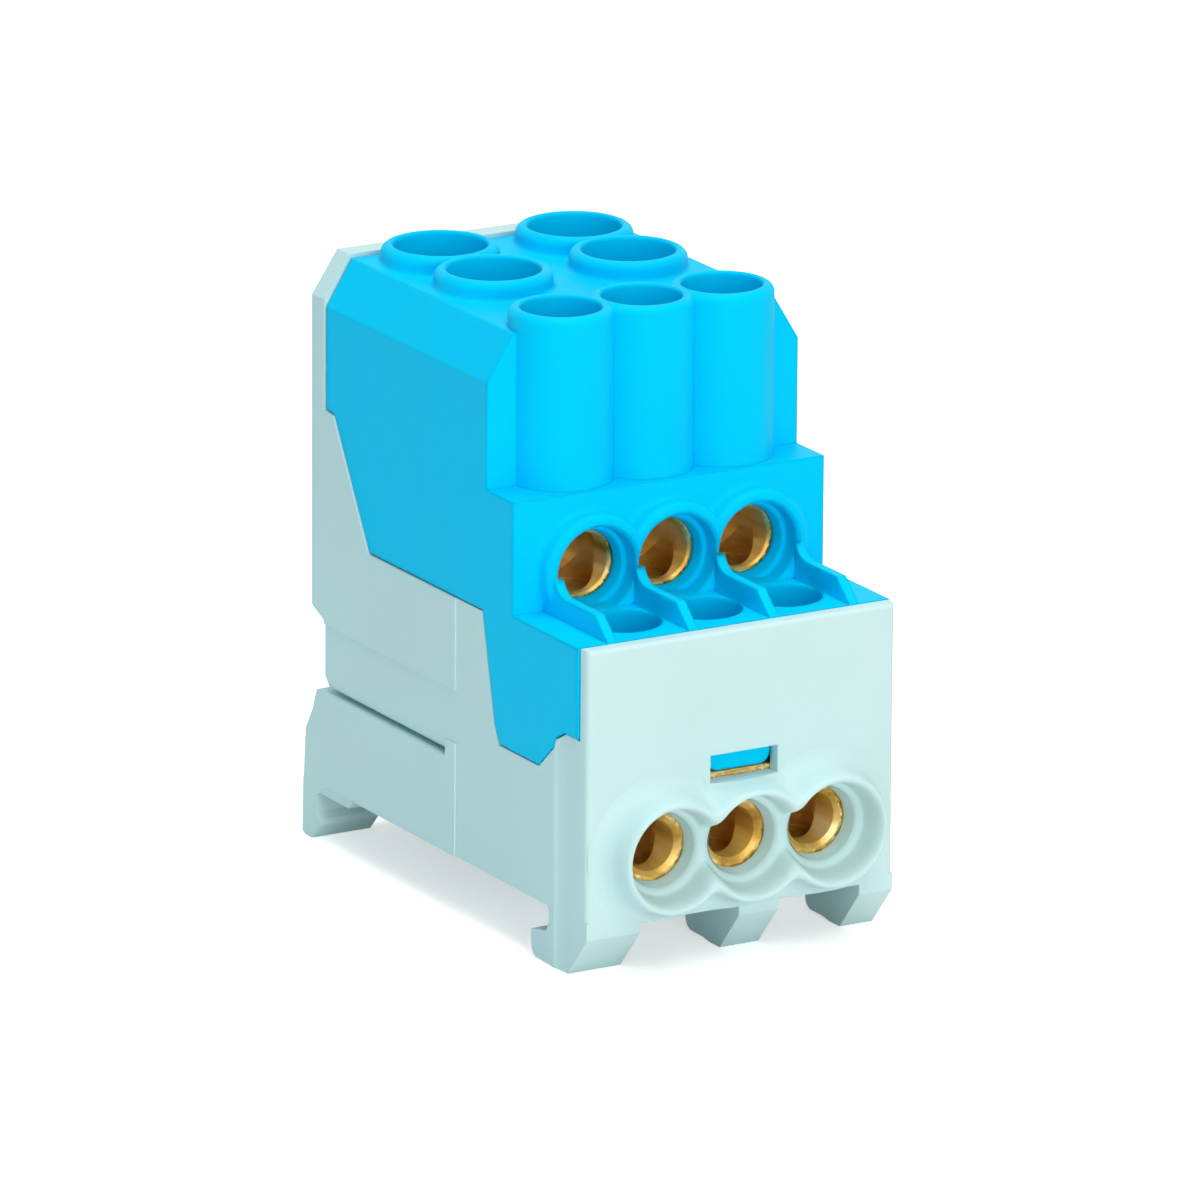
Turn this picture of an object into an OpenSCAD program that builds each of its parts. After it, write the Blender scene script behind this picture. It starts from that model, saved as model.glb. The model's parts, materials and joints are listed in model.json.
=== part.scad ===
// Single-pole power distribution block for a 35 mm rail.
// X is the width, Y runs from the front plate to the back plate, Z is up from the feet.
// Each piece is drawn with y = 0 on the face of the front plate, and place() centres the block.

/* [Housing] */
// Width across the rear half
body_w = 27.4; // [26.2:0.2:30]
// Height of the top face of the cover above the feet
top_z = 46.55; // [45.5:0.05:48]
// Height of the underside that sits on the rail
under_z = 4.65; // [4.4:0.05:4.9]
// Wall thickness of the base
base_t = 1.2; // [1.1:0.05:1.4]
// Wall thickness of the cover
cover_t = 1; // [0.9:0.05:1.2]
// Thickness of the front plate
plate_t = 1.1; // [1:0.05:1.3]
// Thickness of the back plate
back_t = 1.85; // [1.6:0.05:2.1]
// Rounding of the front plate's edges
edge_r = 0.45; // [0.3:0.05:0.7]
// Step of each side wall between the rear half and the front half
side_step = 0.15; // [0.1:0.05:0.25]
// Step of each side wall between the front half and the corner column
corner_step = 0.2; // [0.1:0.05:0.3]
// Gap along the joint between base and cover
seam_gap = 0.15; // [0.1:0.01:0.2]

/* [Steps of the cover] */
// Height of the shelf over the lower row of screws
shelf_z = 25.85; // [25.6:0.05:26.1]
// Distance back from the front face to the second step
step_y = 10.95; // [10.8:0.05:11.2]
// Height of the ledge at the foot of the screw tubes
ledge_z = 34.65; // [34.5:0.05:35.2]
// Distance back from the front face to the tower wall
tower_y = 14.95; // [14.7:0.05:15.2]
// Width of the bevel along each long top edge
bevel_w = 2.2; // [1.6:0.1:2.6]
// Height of the bevel along each long top edge
bevel_h = 3.6; // [3:0.1:4]

/* [Branch terminals] */
// Side wall to the terminal row, where the three branch terminals share the width that is left
row_margin = 3.2; // [2.9:0.1:3.4]
// Bore for the conductors of the lower row
lower_bore_d = 4.1; // [3.8:0.1:4.4]
// Bore for the conductors of the upper row
upper_bore_d = 4.7; // [4.4:0.1:4.9]
// Height of the lower row of bores
lower_z = 9.5; // [9.3:0.05:9.6]
// Height of the upper row of bores
upper_z = 28.8; // [28.6:0.05:29]
// Thread diameter of the branch screws
branch_screw_d = 5; // [4.6:0.1:5.2]
// Distance back from the front face to the lower screws
lower_screw_y = 5.85; // [5.7:0.05:6]
// Distance back from the front face to the upper screws
upper_screw_y = 15.3; // [15.2:0.05:15.5]
// Bore of the upper screw tubes
tube_bore_d = 6.2; // [6:0.1:6.4]
// Outer diameter of the upper screw tubes
tube_d = 8; // [7.8:0.1:8.2]
// Height of the top rim of the screw tubes
tube_z = 48.05; // [48:0.05:49]
// Bore of the shelf over each lower screw
shelf_hole_d = 6; // [5.8:0.05:6.1]

/* [Main terminals] */
// Bore for the main conductors
main_bore_d = 7.8; // [7.4:0.1:8]
// Height of the main bores
main_z = 26.5; // [26:0.1:27]
// Side wall to the axis of each main terminal
main_margin = 7.8; // [7.6:0.1:8]
// Thread diameter of the main screws
main_screw_d = 6; // [5.6:0.1:6.4]
// Distance from the back face to the rear main screws
main_screw_back = 6.1; // [5.8:0.1:6.4]
// Spacing of the two screws of one main terminal
main_screw_gap = 8.2; // [7.8:0.1:8.4]
// Bore of the main screw collars
collar_bore_d = 7.25; // [7:0.05:7.4]
// Outer diameter of the main screw collars
collar_d = 9.1; // [8.9:0.1:9.3]
// Fillet round the foot of each collar
collar_fillet = 0.4; // [0.2:0.05:0.5]
// Height of the collars above the top face
collar_h = 1.45; // [1.2:0.05:1.6]

/* [Front funnels] */
// Reach of the lower funnels ahead of the front face
rim_reach = 2.8; // [2.4:0.1:3]
// Outer radius of the lower funnels
rim_r = 4.55; // [4.4:0.05:4.6]
// Fillet between the funnels and the front plate
rim_fillet = 0.8; // [0.6:0.05:0.9]
// Wall of the lower funnels at the lip
rim_wall = 0.9; // [0.7:0.05:1]
// Reach of the arched hoods ahead of the second step
hood_reach = 1.6; // [1.4:0.05:1.8]
// Outer radius of the arched hoods
hood_r = 4.4; // [4.2:0.05:4.6]
// Fillet between the hoods and the second step
hood_fillet = 0.5; // [0.3:0.05:0.7]
// Wall of the arched hoods at the lip
hood_wall = 1; // [0.8:0.05:1.1]
// Height of the partition fins above the shelf
fin_h = 1.7; // [1.4:0.1:2]
// Thickness of the partition fins
fin_t = 0.8; // [0.7:0.05:0.9]

/* [Rail feet] */
// Clear distance between the rail grooves
rail_w = 35.7; // [35.5:0.1:36]
// Distance back from the front face to the front rail groove
groove_y = 5.3; // [5.1:0.1:5.5]
// Distance from the rear rail groove to the back face
back_over = 0.7; // [0.5:0.1:1]
// Reach of the front hooks under the rail
hook_reach = 2.6; // [2.2:0.1:2.8]
// Height of the tips of the front hooks
hook_h = 2.2; // [2:0.05:2.4]
// Height of the slot that frees the rear foot
slot_h = 0.4; // [0.3:0.05:0.5]
// Height of the underside of that slot
slot_z = 12.25; // [12:0.05:12.5]
// Distance from the front face to the closed end of that slot
slot_y = 20.9; // [20.8:0.1:21.2]
// Height of the pads on the rear edge of the rail
pad_h = 0.75; // [0.5:0.05:0.9]
// Width of each rear foot
rear_foot_w = 5.2; // [4.8:0.1:5.6]

/* [Fits] */
// Clearance round the brass block
block_gap = 0.15; // [0.1:0.01:0.2]
// Radial clearance of the screws in their threads
thread_gap = 0.05; // [0.03:0.01:0.08]

/* [Hidden] */

$fn = 64;
// Overlap of a cut with the face that it opens
cut = 1;

// Widths of the front half and of the front plate, which stands level with the corner columns
mid_w = body_w - 2 * side_step;
plate_w = mid_w - 2 * corner_step;
inner_w = plate_w - 2 * base_t;

// Left and right edges of the three front feet
left_foot_w = 4.6;
mid_foot = [-0.1, 3.3];
right_foot_w = 2.9;
front_feet = [[-mid_w / 2, left_foot_w - plate_w / 2], mid_foot, [plate_w / 2 - right_foot_w, mid_w / 2]];

pitch = (body_w - 2 * row_margin) / 3;
branch_x = [-pitch, 0, pitch];
main_x = [main_margin - body_w / 2, body_w / 2 - main_margin];
rear_groove_y = groove_y + rail_w;
rear_foot_l = 2.2;
foot_back_y = rear_groove_y + rear_foot_l;
// Rounding of the heel of each rear foot
heel = 0.25;
body_d = rear_groove_y + back_over;
back_y = body_d - back_t;
main_ys = [body_d - main_screw_back - main_screw_gap, body_d - main_screw_back];
floor_z = under_z + base_t;
rear_floor_z = slot_z + slot_h + base_t;
// Lower edge of the back plate, and the sill behind it that carries the brass
back_low_z = 18.05;
sill_l = 1.7;
sill_y = back_y - sill_l;
sill_z = back_low_z + base_t;

// Joint between base and cover, as seen from the side
seam_front_z = 18.65;
tongue_z = 15.2;
saddle_z = 25.05;
shoulder_z = 34.8;
// How far the back plate stands above the cover
plate_over = 0.3;
tongue_y = 6.9;
tongue_l = 6;
saddle_y = 15.5;
saddle_back = 6.95;
notch = 0.7;
column_y = 4.6;
seam = [[0, seam_front_z], [column_y - 2 * notch, seam_front_z], [column_y - notch / 4, seam_front_z - notch],
        [column_y, seam_front_z - 2 * notch], [tongue_y, tongue_z], [tongue_y + tongue_l, tongue_z],
        [tongue_y + tongue_l + notch, tongue_z + 2 * notch], [saddle_y, saddle_z],
        [back_y - saddle_back, saddle_z], [back_y - 2.5 * notch, shoulder_z - notch],
        [back_y - 2 * notch, shoulder_z - notch / 5], [back_y, shoulder_z]];

// Brass block: three steps that follow the steps of the cover
block_w = inner_w - 2 * block_gap;
block_low_y = plate_t + block_gap;
block_low_z = 14.5;
block_mid_y = step_y + cover_t + block_gap;
block_mid_z = ledge_z - cover_t - block_gap;
block_high_y = upper_screw_y + tube_d / 2 + block_gap;
block_high_z = 36.5;
block_back_y = back_y - block_gap;
block_floor_z = floor_z + block_gap;
block_rear_z = sill_z + block_gap;
block_heel_y = slot_y - base_t - block_gap;
// Distance from the axis of a screw to the blind end of the bore that it crosses
bore_past_screw = 4.6;
main_bore_ahead = 4.4;
// The bores of a row are drilled to depths that differ by this
depth_step = 0.1;
// Bevels at the mouths of the bores
lower_bevel = 0.33;
upper_bevel = 0.16;
main_bevel = 0.4;

// Slotted set screws with a dog point
slot_depth = 1.4;
slot_t = 0.8;
tip_share = 0.62;
tip_l = 0.6;
taper_l = 0.5;
tip_gap = 0.1;
rest_gap = 0.3;
branch_screw_l = 7;
main_screw_l = 10;
// Depth of a threaded hole below the bore that it crosses
thread_run = 0.4;

module place() translate([0, -(foot_back_y - rim_reach) / 2, 0]) children();

// A [y, z] outline drawn out along X, centred on x = 0
module along_x(w) rotate([90, 0, 90]) linear_extrude(w, center = true) children();

// An [x, z] outline drawn out along Y from y0 to y1
module along_y(y0, y1) translate([0, y1, 0]) rotate([90, 0, 0]) linear_extrude(y1 - y0) children();

// A round piece on the Y axis from y0 to y1, r0 at the front and r1 at the back
module rod_y(y0, y1, r0, r1) translate([0, y0, 0]) rotate([-90, 0, 0]) cylinder(y1 - y0, r0, r1);

// Its children at both sides of the block, the left one mirrored
module both_sides() for (side = [-1, 1]) scale([side, 1, 1]) children();

// Points of an arc of radius r round [u, v]
function arc(u, v, r, a0, a1, n = 5) =
    [for (i = [0 : n]) let (a = a0 + (a1 - a0) * i / n) [u + r * cos(a), v + r * sin(a)]];

// Cross-section of the tower, with a bevel along each top edge
module tower_section(w, z, extra = 0) {
    side_z = z - bevel_h + extra;
    polygon([[-w / 2, 0], [w / 2, 0], [w / 2, side_z], [w / 2 - bevel_w, z], [bevel_w - w / 2, z],
             [-w / 2, side_z]]);
}

// A lip with a rounded crest round a bore, from a fillet on the face at y = 0 to the crest at y = -reach
module lip(reach, r, wall, fillet) {
    crest = wall / 2;
    crest_end = 75;
    rotate([90, 0, 0]) rotate_extrude()
        polygon(concat([[0, -cut / 2], [r + fillet, -cut / 2]], arc(r + fillet, fillet, fillet, 270, 180),
                       arc(r - crest, reach - crest * sin(crest_end), crest, 0, crest_end), [[0, reach]]));
}

// Front plate: outline from above
module plate_outline() {
    half = plate_w / 2;
    polygon(concat(arc(edge_r - half, edge_r, edge_r, 180, 270), arc(half - edge_r, edge_r, edge_r, 270, 360),
                   [[half, plate_t], [-half, plate_t]]));
}

module front_plate() {
    skirt = 0.55;
    top_tilt = 110;
    intersection() {
        translate([0, 0, under_z - skirt]) linear_extrude(shelf_z - under_z + skirt) plate_outline();
        along_x(body_w) polygon(concat([[plate_t, 0], [0, 0]],
            arc(edge_r, shelf_z - edge_r, edge_r, 180, top_tilt), [[plate_t, shelf_z]]));
    }
}

// Outline of the base below the joint, with the sprung rear foot cut free by its slot
module base_side() {
    arm_r = 0.8;
    lean = 0.5;
    calf_z = slot_z - 3.6;
    polygon(concat([[plate_t / 2, under_z]], [for (p = seam) [max(p[0], plate_t / 2), p[1]]],
        [[body_d, shoulder_z], [body_d, back_low_z + arm_r], [back_y, back_low_z],
         [back_y, slot_z + slot_h], [slot_y, slot_z + slot_h], [slot_y, slot_z],
         [body_d - arm_r, slot_z], [rear_groove_y + lean / 2, slot_z - arm_r],
         [rear_groove_y + lean, slot_z - 2 * arm_r], [foot_back_y - lean, calf_z],
         [foot_back_y - heel / 2, under_z - cut], [rear_groove_y, under_z - cut],
         [rear_groove_y - 2 * arm_r, under_z]]));
}

// Hook that holds the front edge of the rail
module front_hook() {
    chamfer_y = 2.8;
    chamfer_z = 3.3;
    tip_r = 0.9;
    throat_r = 0.4;
    rise = 0.15;
    hook_y = groove_y + hook_reach;
    polygon(concat([[0, under_z], [0, chamfer_z], [chamfer_y, 0], [groove_y - tip_r, 0], [groove_y, rise]],
        arc(hook_y - tip_r, tip_r + rise, tip_r, 270, 360),
        [[hook_y, hook_h], [groove_y + throat_r, hook_h + throat_r], [groove_y, hook_h + 3 * throat_r]],
        arc(groove_y + throat_r, under_z - throat_r, throat_r, 180, 90)));
}

// Foot behind the rear edge of the rail, with its nose under the edge
module rear_foot() {
    nose = 0.5;
    nose_z = 1.3;
    polygon([[rear_groove_y, under_z], [foot_back_y - heel / 2, under_z], [foot_back_y, heel],
             [foot_back_y - 2 * heel, 0], [rear_groove_y + 3 * heel, 0], [rear_groove_y - nose, nose_z],
             [rear_groove_y - nose, nose_z + nose], [rear_groove_y, nose_z + 2 * nose]]);
}

// One funnel of the lower row, cut from the lip to the brass: scoop, ledge, throat
module funnel() {
    scoop_r = rim_r - rim_wall;
    throat_r = lower_bore_d / 2 + 0.4;
    ledge_y = -0.4;
    soft = 0.35;
    taper = 0.2;
    lead_in = 0.5;
    rotate([90, 0, 0]) rotate_extrude()
        polygon([[0, -plate_t - cut], [throat_r, -plate_t - cut], [throat_r + lead_in, -ledge_y],
                 [scoop_r - taper, -ledge_y], [scoop_r, rim_reach - soft],
                 [scoop_r + soft, rim_reach + taper], [0, rim_reach + taper]]);
}

// Opening of a main terminal in the back plate
module back_mouth() {
    mouth_r = main_bore_d / 2 + 0.3;
    flare = 0.8;
    rod_y(back_y - cut, body_d + cut, mouth_r, mouth_r);
    rod_y(body_d - flare, body_d + flare, mouth_r, mouth_r + 2 * flare);
}

// What is cut from the outside of the right-hand side wall
module side_cuts() {
    offset_y = 19.45;
    hollow_l = 1.3;
    wall = body_w / 2;
    slope_h = 0.95;
    slope_w = 0.5;
    reveal = 0.15;
    // Step down from the rear half to the front half, and on to the corner column
    linear_extrude(top_z) {
        polygon([[wall + cut, -cut], [wall - side_step, -cut], [wall - side_step, offset_y],
                 [wall + cut, offset_y]]);
        polygon([[wall, -cut], [plate_w / 2, -cut], [plate_w / 2, column_y - hollow_l],
                 [plate_w / 2 + corner_step / 3, column_y - hollow_l / 2.5], [mid_w / 2, column_y],
                 [wall, column_y]]);
    }
    // The wall above the slot leans in towards it, under a shallow band
    slope_z = slot_z + slot_h + slope_h;
    along_y(slot_y, body_d + cut) polygon([[wall + cut, slope_z], [wall - reveal, slope_z],
        [wall - slope_w, slot_z + slot_h], [wall - slope_w, slot_z], [wall + cut, slot_z]]);
    along_y(offset_y, body_d + cut) translate([wall - reveal, slope_z])
        square([cut, back_low_z - slope_z - 2 * reveal]);
}

module base_housing() {
    window_x = 0.22;
    window_w = 5.85;
    window_h = 2.15;
    window_z = 14.1;
    pad_l = 5.7;
    pad_w = 3;
    pad_inset = 0.1;
    pad_y = rear_groove_y - pad_l;
    pad_end_y = rear_groove_y + cut / 2;
    color("lightcyan") place() difference() {
        union() {
            along_x(body_w) base_side();
            front_plate();
            // Back plate, a little larger than the cover in front of it
            along_y(back_y, body_d) intersection() {
                tower_section(body_w, top_z + plate_over, plate_over);
                translate([-body_w / 2, shoulder_z - cut]) square([body_w, top_z]);
            }
            for (x = branch_x) translate([x, 0, lower_z]) lip(rim_reach, rim_r, rim_wall, rim_fillet);
            for (f = front_feet) translate([(f[0] + f[1]) / 2, 0, 0]) along_x(f[1] - f[0]) front_hook();
            both_sides() {
                translate([(body_w - rear_foot_w) / 2, 0, 0]) along_x(rear_foot_w) rear_foot();
                // Pad on the rear edge of the rail
                translate([(body_w - pad_w) / 2 - pad_inset, 0, 0]) along_x(pad_w)
                    polygon([[pad_y, under_z], [pad_y + pad_h, under_z - pad_h], [pad_end_y, under_z - pad_h],
                             [pad_end_y, under_z + cut / 2], [pad_y, under_z + cut / 2]]);
            }
        }
        // Room for the low and middle steps of the brass
        along_x(inner_w) polygon([[plate_t, floor_z], [slot_y - base_t, floor_z],
            [slot_y - base_t, rear_floor_z], [sill_y, rear_floor_z], [sill_y, sill_z],
            [back_y, sill_z], [back_y, top_z + cut], [plate_t, top_z + cut]]);
        // The sprung foot is a tray that is open underneath
        along_x(inner_w) polygon([[slot_y, 0], [rear_groove_y - cut, 0],
            [rear_groove_y - cut, slot_z - base_t], [slot_y, slot_z - base_t]]);
        both_sides() side_cuts();
        for (x = branch_x) translate([x, 0, lower_z]) funnel();
        for (x = main_x) translate([x, 0, main_z]) back_mouth();
        // Window for the snap of the cover
        translate([window_x - window_w / 2, -cut, window_z]) cube([window_w, plate_t + 2 * cut, window_h]);
    }
}

// Side outline of the cover, from the joint up to the steps
module cover_side() {
    front_y = plate_t + seam_gap;
    polygon(concat([for (i = [len(seam) - 1 : -1 : 0]) [max(seam[i][0], front_y), seam[i][1] + seam_gap]],
        [[front_y, shelf_z], [step_y, shelf_z], [step_y, ledge_z], [tower_y, ledge_z],
         [tower_y, top_z], [back_y - seam_gap, top_z], [back_y - seam_gap, shoulder_z + seam_gap]]));
}

// Inside of the cover, one wall in from its outline
module cover_room() {
    polygon([[plate_t + seam_gap + cover_t, 0], [plate_t + seam_gap + cover_t, shelf_z - cover_t],
             [step_y + cover_t, shelf_z - cover_t], [step_y + cover_t, ledge_z - cover_t],
             [tower_y + cover_t, ledge_z - cover_t], [tower_y + cover_t, top_z - cover_t],
             [back_y + cut, top_z - cover_t], [back_y + cut, 0]]);
}

// Partition between two screws of the lower row, sweeping up to the hoods at the step
module fin() {
    toe_y = 1.3;
    knee_y = 3.2;
    knee = 0.4;
    hood_y = step_y - hood_reach;
    polygon(concat([[step_y + cover_t / 2, shelf_z - cover_t / 2], [toe_y, shelf_z - cover_t / 2],
                    [toe_y, shelf_z], [knee_y - knee, shelf_z + fin_h - knee], [knee_y, shelf_z + fin_h]],
                   arc(hood_y - fin_h, shelf_z + 2 * fin_h, fin_h, 270, 350, 4),
                   [[step_y + cover_t / 2, shelf_z + 2 * fin_h]]));
}

// Rim of a tube or collar with its top at z = 0, soft on the outside and crisp round the bore
module rim(d, bore, l) {
    wall = (d - bore) / 2;
    inner = 0.25 * wall;
    outer = wall - inner;
    rotate_extrude() polygon(concat([[bore / 2, -l], [d / 2, -l]],
        arc(d / 2 - outer, -outer, outer, 0, 90, 6), arc(bore / 2 + inner, -inner, inner, 90, 180, 3)));
}

// Fillet round the foot of a collar that stands on z = 0
module collar_foot() {
    rotate_extrude() polygon(concat([[collar_d / 2 - collar_fillet, -cover_t / 2],
        [collar_d / 2 + collar_fillet, -cover_t / 2]],
        arc(collar_d / 2 + collar_fillet, collar_fillet, collar_fillet, 270, 180),
        [[collar_d / 2 - collar_fillet, collar_fillet]]));
}

// Snap that fills the window of the base, as seen from the front
module snap_outline(w, z0, z1, r) {
    polygon(concat(arc(r - w / 2, z0 + r, r, 180, 270), arc(w / 2 - r, z0 + r, r, 270, 360),
                   [[w / 2, z1], [-w / 2, z1]]));
}

// Inside of one hood, then a slight taper through the wall to the brass
module hood_mouth() {
    inner_r = hood_r - hood_wall;
    mouth_r = upper_bore_d / 2 + 0.2;
    lead_in = 0.35;
    soft = 0.3;
    taper = 0.1;
    rotate([90, 0, 0]) rotate_extrude()
        polygon([[0, -cover_t - cut / 4], [mouth_r, -cover_t - cut / 4], [mouth_r + lead_in, 0],
                 [inner_r - taper, 0], [inner_r, hood_reach - soft], [inner_r + soft, hood_reach + taper],
                 [0, hood_reach + taper]]);
}

module cover() {
    snap_x = 0.22;
    snap_w = 5.4;
    snap_z = 14.75;
    snap_r = 0.9;
    nose_y = 0.8;
    nose_z = 16.1;
    sleeve_r = shelf_hole_d / 2 + 0.45;
    sleeve_z = block_low_z + rest_gap;
    guide_l = top_z + collar_h - block_high_z - rest_gap;
    plate_top_z = top_z + plate_over + seam_gap;
    color("deepskyblue") place() difference() {
        union() {
            difference() {
                intersection() {
                    along_x(mid_w) cover_side();
                    along_y(0, back_y) tower_section(mid_w, top_z);
                }
                intersection() {
                    along_x(mid_w - 2 * cover_t) cover_room();
                    along_y(0, back_y + cut) tower_section(mid_w - 2 * cover_t, top_z - cover_t);
                }
            }
            // Guide tubes of the upper screws, joined side by side
            for (x = branch_x) translate([x, upper_screw_y, tube_z])
                rim(tube_d, tube_bore_d, tube_z - ledge_z + cover_t);
            // Collars of the main screws, with guides that reach down to the brass
            for (x = main_x, y = main_ys) translate([x, y, top_z]) {
                translate([0, 0, collar_h]) rim(collar_d, collar_bore_d, guide_l);
                collar_foot();
            }
            // Guides under the shelf
            for (x = branch_x) translate([x, lower_screw_y, sleeve_z])
                cylinder(shelf_z - sleeve_z - cover_t / 2, r = sleeve_r);
            // Arched hoods round the upper row
            intersection() {
                union() for (x = branch_x) translate([x, step_y, upper_z])
                    lip(hood_reach, hood_r, hood_wall, hood_fillet);
                translate([-body_w / 2, 0, shelf_z - cover_t / 2]) cube([body_w, step_y + cut / 4, top_z]);
            }
            for (x = [-1.5, -0.5, 0.5, 1.5]) translate([x * pitch, 0, 0]) along_x(fin_t) fin();
            // Front skirt with the snap that fills the window of the base
            translate([snap_x, 0, 0]) {
                along_y(plate_t + seam_gap, plate_t + seam_gap + cover_t)
                    snap_outline(snap_w, snap_z, shelf_z - cover_t / 2, snap_r);
                along_y(nose_y, plate_t + seam_gap + cover_t / 2)
                    snap_outline(snap_w, snap_z, nose_z, snap_r);
            }
        }
        for (x = branch_x) {
            translate([x, upper_screw_y, ledge_z - cover_t - cut])
                cylinder(tube_z - ledge_z + cover_t + 2 * cut, d = tube_bore_d);
            translate([x, lower_screw_y, sleeve_z - cut])
                cylinder(shelf_z - sleeve_z + 2 * cut, d = shelf_hole_d);
            intersection() {
                translate([x, step_y, upper_z]) hood_mouth();
                translate([-body_w, 0, shelf_z]) cube([2 * body_w, body_d, top_z]);
            }
        }
        for (x = main_x, y = main_ys) translate([x, y, block_high_z])
            cylinder(top_z - block_high_z + 2 * cut, d = collar_bore_d);
        // Room for the back plate
        translate([-body_w / 2, back_y - seam_gap, 0]) cube([body_w, back_t + cut, plate_top_z]);
    }
}

// One terminal: a conductor bore with a bevelled mouth
module terminal(bore_d, mouth_y, end_y, bevel) {
    r = bore_d / 2;
    l = abs(end_y - mouth_y);
    translate([0, mouth_y, 0]) rotate([end_y > mouth_y ? -90 : 90, 0, 0]) rotate_extrude()
        polygon([[0, -bevel], [r + 2 * bevel, -bevel], [r, bevel], [r, l], [0, l]]);
}

// Threaded hole of a screw, from above and a little past the bore that it crosses
module threaded_hole(bore_z, bore_d, screw_d, top) {
    end_z = bore_z - bore_d / 2 - thread_run;
    translate([0, 0, end_z]) cylinder(top - end_z + cut, r = screw_d / 2 + thread_gap);
}

module terminal_block() {
    lower_end_y = lower_screw_y + bore_past_screw;
    upper_end_y = upper_screw_y + bore_past_screw;
    main_end_y = main_ys[0] - main_bore_ahead;
    color("goldenrod") place() difference() {
        along_x(block_w) polygon([[block_low_y, block_floor_z], [block_low_y, block_low_z],
            [block_mid_y, block_low_z], [block_mid_y, block_mid_z], [block_high_y, block_mid_z],
            [block_high_y, block_high_z], [block_back_y, block_high_z], [block_back_y, block_rear_z],
            [block_heel_y, block_rear_z], [block_heel_y, block_floor_z]]);
        for (i = [0 : 2]) translate([branch_x[i], 0, 0]) {
            translate([0, 0, lower_z])
                terminal(lower_bore_d, block_low_y, lower_end_y - i * depth_step, lower_bevel);
            translate([0, 0, upper_z])
                terminal(upper_bore_d, block_mid_y, upper_end_y - i * depth_step, upper_bevel);
            translate([0, lower_screw_y, 0])
                threaded_hole(lower_z, lower_bore_d, branch_screw_d, block_low_z);
            translate([0, upper_screw_y, 0])
                threaded_hole(upper_z, upper_bore_d, branch_screw_d, block_mid_z);
        }
        for (i = [0 : 1]) translate([main_x[i], 0, 0]) {
            translate([0, 0, main_z])
                terminal(main_bore_d, block_back_y, main_end_y + i * depth_step, main_bevel);
            for (y = main_ys) translate([0, y, 0])
                threaded_hole(main_z, main_bore_d, main_screw_d, block_high_z);
        }
    }
}

// Set screw with a slot, backed out so that its tip just clears the bore below it
module set_screw(x, y, bore_top_z, d, l) {
    color("silver") place() translate([x, y, bore_top_z + rest_gap]) difference() {
        union() {
            cylinder(l, d = tip_share * d);
            translate([0, 0, tip_l]) cylinder(taper_l, tip_share * d / 2, d / 2);
            translate([0, 0, tip_l + taper_l]) cylinder(l - tip_l - taper_l, d = d);
        }
        translate([-d / 2 - cut, -slot_t / 2, l - slot_depth]) cube([d + 2 * cut, slot_t, slot_depth + cut]);
    }
}

module main_screw(i)
    set_screw(main_x[i % 2], main_ys[floor(i / 2)], main_z + main_bore_d / 2, main_screw_d, main_screw_l);
module upper_screw(i)
    set_screw(branch_x[i], upper_screw_y, upper_z + upper_bore_d / 2, branch_screw_d, branch_screw_l);
module lower_screw(i)
    set_screw(branch_x[i], lower_screw_y, lower_z + lower_bore_d / 2, branch_screw_d, branch_screw_l);

base_housing();
cover();
terminal_block();
main_screw(0);  // main_screw_1
main_screw(1);  // main_screw_2
main_screw(2);  // main_screw_3
main_screw(3);  // main_screw_4
upper_screw(0);  // upper_screw_1
upper_screw(1);  // upper_screw_2
upper_screw(2);  // upper_screw_3
lower_screw(0);  // lower_screw_1
lower_screw(1);  // lower_screw_2
lower_screw(2);  // lower_screw_3
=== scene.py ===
import json
from math import cos, hypot, radians, sin

import bmesh
import bpy
from mathutils import Matrix, Vector

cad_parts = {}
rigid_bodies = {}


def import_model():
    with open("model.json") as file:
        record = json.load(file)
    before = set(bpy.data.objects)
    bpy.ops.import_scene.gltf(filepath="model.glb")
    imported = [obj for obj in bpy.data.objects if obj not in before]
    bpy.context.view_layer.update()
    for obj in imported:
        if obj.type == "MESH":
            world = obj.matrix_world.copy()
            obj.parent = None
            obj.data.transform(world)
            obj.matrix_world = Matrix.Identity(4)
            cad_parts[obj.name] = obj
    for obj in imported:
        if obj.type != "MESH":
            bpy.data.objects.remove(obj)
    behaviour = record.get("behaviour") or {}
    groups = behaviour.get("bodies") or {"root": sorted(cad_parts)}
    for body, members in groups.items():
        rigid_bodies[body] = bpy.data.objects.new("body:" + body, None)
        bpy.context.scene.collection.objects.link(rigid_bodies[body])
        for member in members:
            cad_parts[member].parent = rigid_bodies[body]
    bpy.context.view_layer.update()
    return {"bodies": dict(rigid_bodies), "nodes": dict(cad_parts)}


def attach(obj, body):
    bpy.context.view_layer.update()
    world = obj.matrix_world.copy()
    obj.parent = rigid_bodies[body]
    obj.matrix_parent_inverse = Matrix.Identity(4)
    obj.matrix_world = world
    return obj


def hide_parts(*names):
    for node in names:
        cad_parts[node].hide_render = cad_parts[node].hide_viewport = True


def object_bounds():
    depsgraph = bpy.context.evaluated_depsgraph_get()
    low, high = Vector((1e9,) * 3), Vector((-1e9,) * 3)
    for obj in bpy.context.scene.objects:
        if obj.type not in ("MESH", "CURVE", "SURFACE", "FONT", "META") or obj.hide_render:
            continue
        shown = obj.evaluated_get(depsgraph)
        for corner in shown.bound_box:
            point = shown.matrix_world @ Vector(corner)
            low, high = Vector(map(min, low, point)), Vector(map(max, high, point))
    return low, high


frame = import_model()


mm = 0.001


def linear(code):
    # sRGB hex to a linear colour with alpha
    parts = [int(code[i:i + 2], 16) / 255 for i in (1, 3, 5)]
    return [p / 12.92 if p <= 0.04045 else ((p + 0.055) / 1.055) ** 2.4 for p in parts] + [1]


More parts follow.
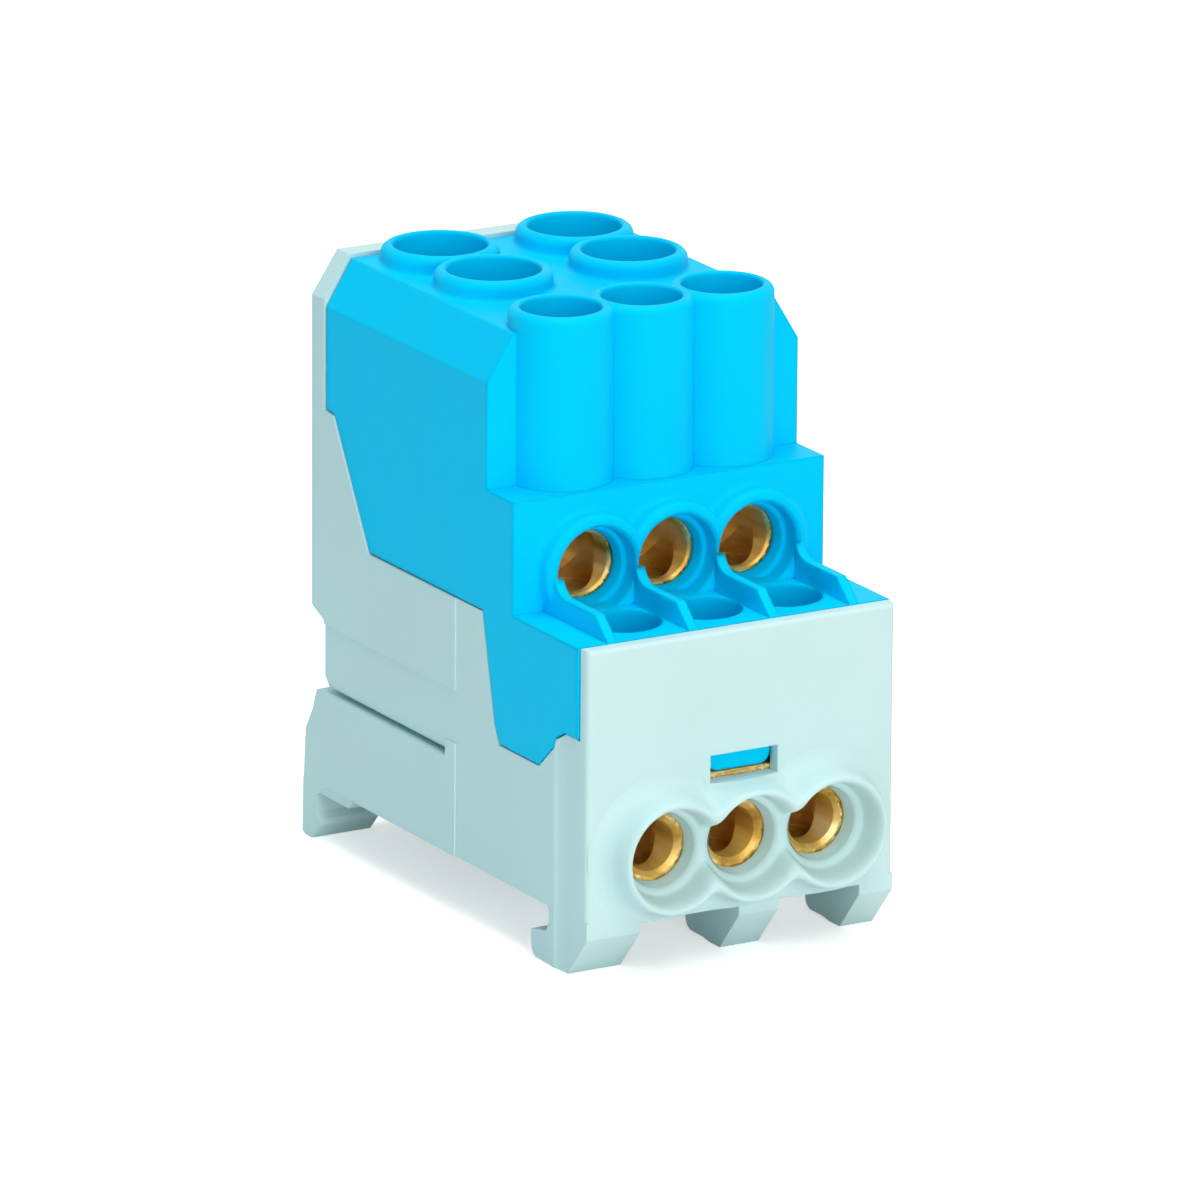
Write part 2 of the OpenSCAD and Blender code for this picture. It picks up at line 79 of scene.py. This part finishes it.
def addNode(tree, kind, links=None, **settings):
    # one node: attributes by name, sockets by name or index, links as {socket: output}
    node = tree.nodes.new(kind)
    for key, value in settings.items():
        if key == "inputs":
            for socket, amount in value.items():
                node.inputs[socket].default_value = amount
        else:
            setattr(node, key, value)
    for socket, output in (links or {}).items():
        tree.links.new(output, node.inputs[socket])
    return node


def newMaterial(name):
    material = bpy.data.materials.new(name)
    material.use_nodes = True
    tree = material.node_tree
    return material, tree, tree.nodes["Principled BSDF"]


def stops(ramp, *pairs):
    # the colour ramp's stops, as (place, linear colour)
    ramp.elements.remove(ramp.elements[1])
    ramp.elements[0].position, ramp.elements[0].color = pairs[0]
    for place, colour in pairs[1:]:
        ramp.elements.new(place).color = colour


def mouldedPolyamide(name, code, edge, sheen):
    # injection-moulded polyamide 6.6 from a fine spark-eroded tool: satin skin, soft edges
    material, tree, shader = newMaterial(name)
    place = addNode(tree, "ShaderNodeTexCoord")
    grain = addNode(tree, "ShaderNodeTexNoise", {"Vector": place.outputs["Object"]},
                    inputs={"Scale": 3500, "Detail": 3, "Roughness": 0.6})
    waves = addNode(tree, "ShaderNodeTexNoise", {"Vector": place.outputs["Object"]},
                    inputs={"Scale": 110, "Detail": 2, "Roughness": 0.45})
    base = linear(code)
    tone = addNode(tree, "ShaderNodeValToRGB", {"Fac": waves.outputs["Fac"]})
    stops(tone.color_ramp, (0.3, [c * 0.97 for c in base[:3]] + [1]), (0.7, base))
    rounded = addNode(tree, "ShaderNodeBevel", samples=6, inputs={"Radius": edge})
    bump = addNode(tree, "ShaderNodeBump",
                   {"Height": grain.outputs["Fac"], "Normal": rounded.outputs["Normal"]},
                   inputs={"Strength": 0.12, "Distance": 0.02 * mm})
    gloss = addNode(tree, "ShaderNodeMapRange", {"Value": waves.outputs["Fac"]},
                    inputs={"From Min": 0.3, "From Max": 0.7, "To Min": 0.42, "To Max": 0.5})
    tree.links.new(tone.outputs["Color"], shader.inputs["Base Color"])
    tree.links.new(gloss.outputs["Result"], shader.inputs["Roughness"])
    tree.links.new(bump.outputs["Normal"], shader.inputs["Normal"])
    shader.inputs["IOR"].default_value = 1.53
    shader.inputs["Specular IOR Level"].default_value = sheen
    shader.inputs["Specular Tint"].default_value = [(0.2 + 0.8 * c) for c in base[:3]] + [1]
    shader.inputs["Subsurface Weight"].default_value = 0.08
    shader.inputs["Subsurface Radius"].default_value = (0.6, 0.6, 0.6)
    shader.inputs["Subsurface Scale"].default_value = 0.8 * mm
    return material


def drilledBrass():
    # free-cutting brass bar, sawn and drilled, with faint rings along each bore; its colour mixes the
    # brass's own uneven tone with painted highlight streaks along the bores
    material, tree, shader = newMaterial("drilled_brass")
    place = addNode(tree, "ShaderNodeTexCoord")
    stretch = addNode(tree, "ShaderNodeMapping", {"Vector": place.outputs["Object"]},
                      inputs={"Scale": (1, 0.06, 1)})
    # noise stretched along the bore axis: partly the brass's own uneven tone, partly pale streaks of painted
    # highlight along each bore
    toneAndPaintedGleam = addNode(tree, "ShaderNodeTexNoise", {"Vector": stretch.outputs["Vector"]},
                    inputs={"Scale": 420, "Detail": 3, "Roughness": 0.55})
    rings = addNode(tree, "ShaderNodeTexWave", {"Vector": place.outputs["Object"]}, bands_direction="Y",
                    inputs={"Scale": 900, "Distortion": 1.5, "Detail": 2, "Detail Scale": 1.5})
    # dark gold to near-white: the pale end is painted highlight, not a real lighter brass
    tone = addNode(tree, "ShaderNodeValToRGB", {"Fac": toneAndPaintedGleam.outputs["Fac"]})
    stops(tone.color_ramp, (0.3, linear("#c98f35")), (0.5, linear("#f0c468")), (0.7, linear("#ffe9b0")))
    gloss = addNode(tree, "ShaderNodeMapRange", {"Value": toneAndPaintedGleam.outputs["Fac"]},
                    inputs={"From Min": 0.3, "From Max": 0.8, "To Min": 0.56, "To Max": 0.42})
    rounded = addNode(tree, "ShaderNodeBevel", samples=6, inputs={"Radius": 0.08 * mm})
    bump = addNode(tree, "ShaderNodeBump",
                   {"Height": rings.outputs["Fac"], "Normal": rounded.outputs["Normal"]},
                   inputs={"Strength": 0.2, "Distance": 0.01 * mm})
    tree.links.new(tone.outputs["Color"], shader.inputs["Base Color"])
    tree.links.new(gloss.outputs["Result"], shader.inputs["Roughness"])
    tree.links.new(bump.outputs["Normal"], shader.inputs["Normal"])
    # the rings left by the drill draw each gleam out along the bore
    along = addNode(tree, "ShaderNodeCombineXYZ", inputs={"Y": 1})
    tree.links.new(along.outputs["Vector"], shader.inputs["Tangent"])
    shader.inputs["Anisotropic"].default_value = 0.9
    shader.inputs["Metallic"].default_value = 1
    return material


def zincedSteel():
    # zinc-plated steel screw: dull silver, with the thread rolled round its shank
    material, tree, shader = newMaterial("zinced_steel")
    place = addNode(tree, "ShaderNodeTexCoord")
    cloud = addNode(tree, "ShaderNodeTexNoise", {"Vector": place.outputs["Object"]},
                    inputs={"Scale": 900, "Detail": 3})
    thread = addNode(tree, "ShaderNodeTexWave", {"Vector": place.outputs["Object"]}, bands_direction="Z",
                     wave_profile="TRI", inputs={"Scale": 190})
    tone = addNode(tree, "ShaderNodeValToRGB", {"Fac": cloud.outputs["Fac"]})
    stops(tone.color_ramp, (0.3, linear("#a9adb0")), (0.7, linear("#c9ccce")))
    bump = addNode(tree, "ShaderNodeBump", {"Height": thread.outputs["Fac"]},
                   inputs={"Strength": 0.6, "Distance": 0.25 * mm})
    tree.links.new(tone.outputs["Color"], shader.inputs["Base Color"])
    tree.links.new(bump.outputs["Normal"], shader.inputs["Normal"])
    shader.inputs["Metallic"].default_value = 1
    shader.inputs["Roughness"].default_value = 0.38
    return material


def smoothed(name, material, front=None, angle=32):
    # a merged copy of a CAD node with its curved faces smooth, cut off ahead of the front if one
    # is given
    mergeWithin, flatWithin, broad = 0.002 * mm, radians(0.5), 8 * mm * mm
    source = frame["nodes"][name]
    mesh = source.data.copy()
    form = bmesh.new()
    form.from_mesh(mesh)
    bmesh.ops.remove_doubles(form, verts=form.verts, dist=mergeWithin)
    bmesh.ops.dissolve_limit(form, angle_limit=flatWithin, verts=form.verts, edges=form.edges)
    if front:
        parts = form.verts[:] + form.edges[:] + form.faces[:]
        bmesh.ops.bisect_plane(form, geom=parts, plane_co=(0, front, 0), plane_no=(0, -1, 0),
                               clear_outer=True)
    for face in form.faces:
        face.smooth = True
    # slight folds between broad flat faces stay crisp too
    for edge in form.edges:
        if len(edge.link_faces) == 2:
            least = min(face.calc_area() for face in edge.link_faces)
            edge.smooth = edge.calc_face_angle(0) < radians(angle) and least < broad
    form.to_mesh(mesh)
    form.free()
    mesh.materials.clear()
    mesh.materials.append(material)
    piece = bpy.data.objects.new(name + "_skin", mesh)
    bpy.context.collection.objects.link(piece)
    return piece


def frontLips(material):
    # the three merged funnels as one soft wavy rim, in mm: a height over the plate for each
    # distance from the nearest bore
    plate, level, spacing, foot = -20.2, 9.5, 7.0, 4.12
    blend, inner, outer, reach = 1.2, 2.66, 6.3, 13.3
    columns, rows, top = 334, 150, 16.0
    windowX, windowHalf, windowZ = 0.22, 2.93, 14.1
    steepFrom, steepRate, fadeHalf, fadeWidth = 13.72, 1.3, 3.6, 0.6
    tuck, nearWindow, underWindow = 0.3, 3.2, 13.9
    line = [(2.66, -1.0), (2.72, -0.6), (2.85, -0.15), (3.05, 0.2), (3.25, 0.38), (3.4, 0.5), (3.5, 0.8),
            (3.62, 1.5), (3.75, 2.15), (3.86, 2.5), (3.98, 2.7), (4.1, 2.78), (4.22, 2.76), (4.36, 2.6),
            (4.48, 2.25), (4.57, 1.75), (4.67, 1.32), (4.82, 0.94), (5.05, 0.58), (5.35, 0.3), (5.7, 0.11),
            (6.0, 0.01), (6.3, -0.05)]

    def away(x, z):
        # smooth least distance from the three bore axes
        first, second = sorted(hypot(x - axis, z - level) for axis in (-spacing, 0, spacing))[:2]
        share = max(0, 1 - (second - first) / blend)
        # the rim falls off more steeply just under the window
        fade = min(1, max(0, (fadeHalf - abs(x - windowX)) / fadeWidth))
        steep = steepRate * max(0, z - steepFrom) * fade
        return first - share * share * blend / 4 + steep

    def height(distance):
        for (near, low), (far, high) in zip(line, line[1:]):
            if distance <= far:
                return low + (high - low) * max(0, distance - near) / (far - near)
        return line[-1][1]

    mesh = bpy.data.meshes.new("front_lips")
    form = bmesh.new()
    bmesh.ops.create_grid(form, x_segments=columns, y_segments=rows, size=1)
    pitch = 2 * reach / columns
    hidden, edge = [], set()
    for vert in form.verts:
        x, z = vert.co.x * reach, foot + (vert.co.y + 1) / 2 * (top - foot)
        distance = away(x, z)
        inWindow = abs(x - windowX) < windowHalf and z > windowZ
        if distance < inner - 1.5 * pitch or distance > outer or inWindow:
            hidden.append(vert)
        elif distance < inner:
            axis = spacing * round(x / spacing)
            grow = inner / hypot(x - axis, z - level)
            x, z, distance = axis + (x - axis) * grow, level + (z - level) * grow, inner
            edge.add(vert)
        vert.co = Vector((x, plate - height(distance), z)) * mm
    slivers = [face for face in form.faces if all(vert in edge for vert in face.verts)]
    bmesh.ops.delete(form, geom=slivers, context="FACES_ONLY")
    bmesh.ops.delete(form, geom=[vert for vert in hidden if vert.is_valid], context="VERTS")
    # the cut ends at the bottom of the plate and under the window turn back into the wall
    below = [rim for rim in form.edges if rim.is_boundary and all(
        v.co.z < (foot + 0.01) * mm or abs(v.co.x / mm) < nearWindow and v.co.z > underWindow * mm
        for v in rim.verts)]
    skirt = bmesh.ops.extrude_edge_only(form, edges=below)["geom"]
    for vert in skirt:
        if isinstance(vert, bmesh.types.BMVert):
            vert.co.y = (plate + tuck) * mm
    bmesh.ops.recalc_face_normals(form, faces=form.faces)
    for face in form.faces:
        face.smooth = True
    for rim in below:
        rim.smooth = False
    form.to_mesh(mesh)
    form.free()
    mesh.materials.append(material)
    piece = bpy.data.objects.new("front_lips", mesh)
    bpy.context.collection.objects.link(piece)
    return piece


greySkin = mouldedPolyamide("grey_polyamide", "#c9e9ea", 0.1 * mm, 0.25)
blueSkin = mouldedPolyamide("blue_polyamide", "#00d0ff", 0.4 * mm, 0.06)
brassSkin = drilledBrass()
steelSkin = zincedSteel()

# Each CAD node's material, body, slot and front: the base ends at the plate, and the rim goes on it
looks = {"base_housing": (greySkin, "block", "grey_plastic", -20.22 * mm),
         "cover": (blueSkin, "block", "blue_plastic", None),
         "terminal_block": (brassSkin, "block", "brass", None)}
for name, (material, body, slot, front) in looks.items():
    piece = smoothed(name, material, front)
    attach(piece, body)
    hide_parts(name)
lips = frontLips(greySkin)
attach(lips, "block")
for body in frame["bodies"]:
    if "screw" in body:
        piece = smoothed(body, steelSkin)
        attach(piece, body)
        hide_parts(body)
print("pieces finished:", len(frame["nodes"]))

# Floor and backdrop: white to the camera and to glossy rays, plain pale to the rest
floorMesh = bpy.data.meshes.new("floor")
form = bmesh.new()
bmesh.ops.create_grid(form, x_segments=1, y_segments=1, size=3)
form.to_mesh(floorMesh)
form.free()
floor = bpy.data.objects.new("floor", floorMesh)
floor.location.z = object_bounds()[0][2]
bpy.context.collection.objects.link(floor)
floorSkin, tree, shader = newMaterial("pale_floor")
shader.inputs["Base Color"].default_value = linear("#f4f4f4")
shader.inputs["Roughness"].default_value = 0.9
shader.inputs["Emission Color"].default_value = (1, 1, 1, 1)
path = addNode(tree, "ShaderNodeLightPath")
lift = addNode(tree, "ShaderNodeMath", {0: path.outputs["Is Camera Ray"]}, operation="MULTIPLY",
               inputs={1: 0.5})
tree.links.new(lift.outputs[0], shader.inputs["Emission Strength"])
floorMesh.materials.append(floorSkin)

world = bpy.data.worlds.new("backdrop")
world.use_nodes = True
bpy.context.scene.world = world
tree = world.node_tree
surface = tree.nodes["Background"]
path = addNode(tree, "ShaderNodeLightPath")
seen = addNode(tree, "ShaderNodeMath", {0: path.outputs["Is Camera Ray"], 1: path.outputs["Is Glossy Ray"]},
               operation="MAXIMUM")
level = addNode(tree, "ShaderNodeMapRange", {"Value": seen.outputs[0]}, inputs={"To Min": 0.24, "To Max": 1})
tree.links.new(level.outputs["Result"], surface.inputs["Strength"])
surface.inputs["Color"].default_value = (1, 1, 1, 1)

# Each lamp: place, size, power and colour, with the side lamp the cooler one
lamps = {"front": ((-0.15, -0.97, 0.14), 0.5, 3.9, "#fffaf5"),
         "side": ((-0.9, 0.1, 0.4), 0.7, 1.2, "#4fd0f0"),
         "high": ((-0.15, -0.6, 0.8), 0.5, 2.7, "#fff8f0"),
         "top": ((0.05, 0.05, 1.0), 0.7, 5.4, "#ffffff")}
for name, (spot, size, watts, code) in lamps.items():
    light = bpy.data.lights.new(name, "AREA")
    light.shape, light.size, light.energy = "DISK", size, watts
    light.color = linear(code)[:3]
    lamp = bpy.data.objects.new(name, light)
    lamp.location = spot
    lamp.rotation_euler = (Vector((0, 0, 0.02)) - lamp.location).to_track_quat("-Z", "Y").to_euler()
    bpy.context.collection.objects.link(lamp)

# Camera: long lens, to the left of the front and a little above, as fitted to the object's edges
# with angles in degrees, places in mm and the focal length in pixels of the photo's width
focalPixels, photoWidth, sensorWidth = 13274.2, 1200, 36
azimuth, elevation, roll = radians(30.236), radians(16.489), radians(0.372)
ahead = Vector((sin(azimuth) * cos(elevation), cos(azimuth) * cos(elevation), -sin(elevation)))
across = Vector((cos(azimuth), -sin(azimuth), 0))
up = across.cross(ahead)
right = across * cos(roll) + up * sin(roll)
upward = up * cos(roll) - across * sin(roll)
aim = Vector((0.56, -0.2, 19.65))
offset = Vector((1.075, -2.974, 1009.585))
camera = bpy.data.objects.new("camera", bpy.data.cameras.new("camera"))
camera.data.sensor_width = sensorWidth
camera.data.lens = focalPixels * sensorWidth / photoWidth
camera.data.clip_start, camera.data.clip_end = 0.1, 10
spot = (aim - right * offset.x - upward * offset.y - ahead * offset.z) * mm
camera.matrix_world = Matrix.Translation(spot) @ Matrix((right, upward, -ahead)).transposed().to_4x4()
bpy.context.collection.objects.link(camera)
scene = bpy.context.scene
scene.camera = camera
scene.view_settings.view_transform = "Standard"
print("stage, lamps and camera set")
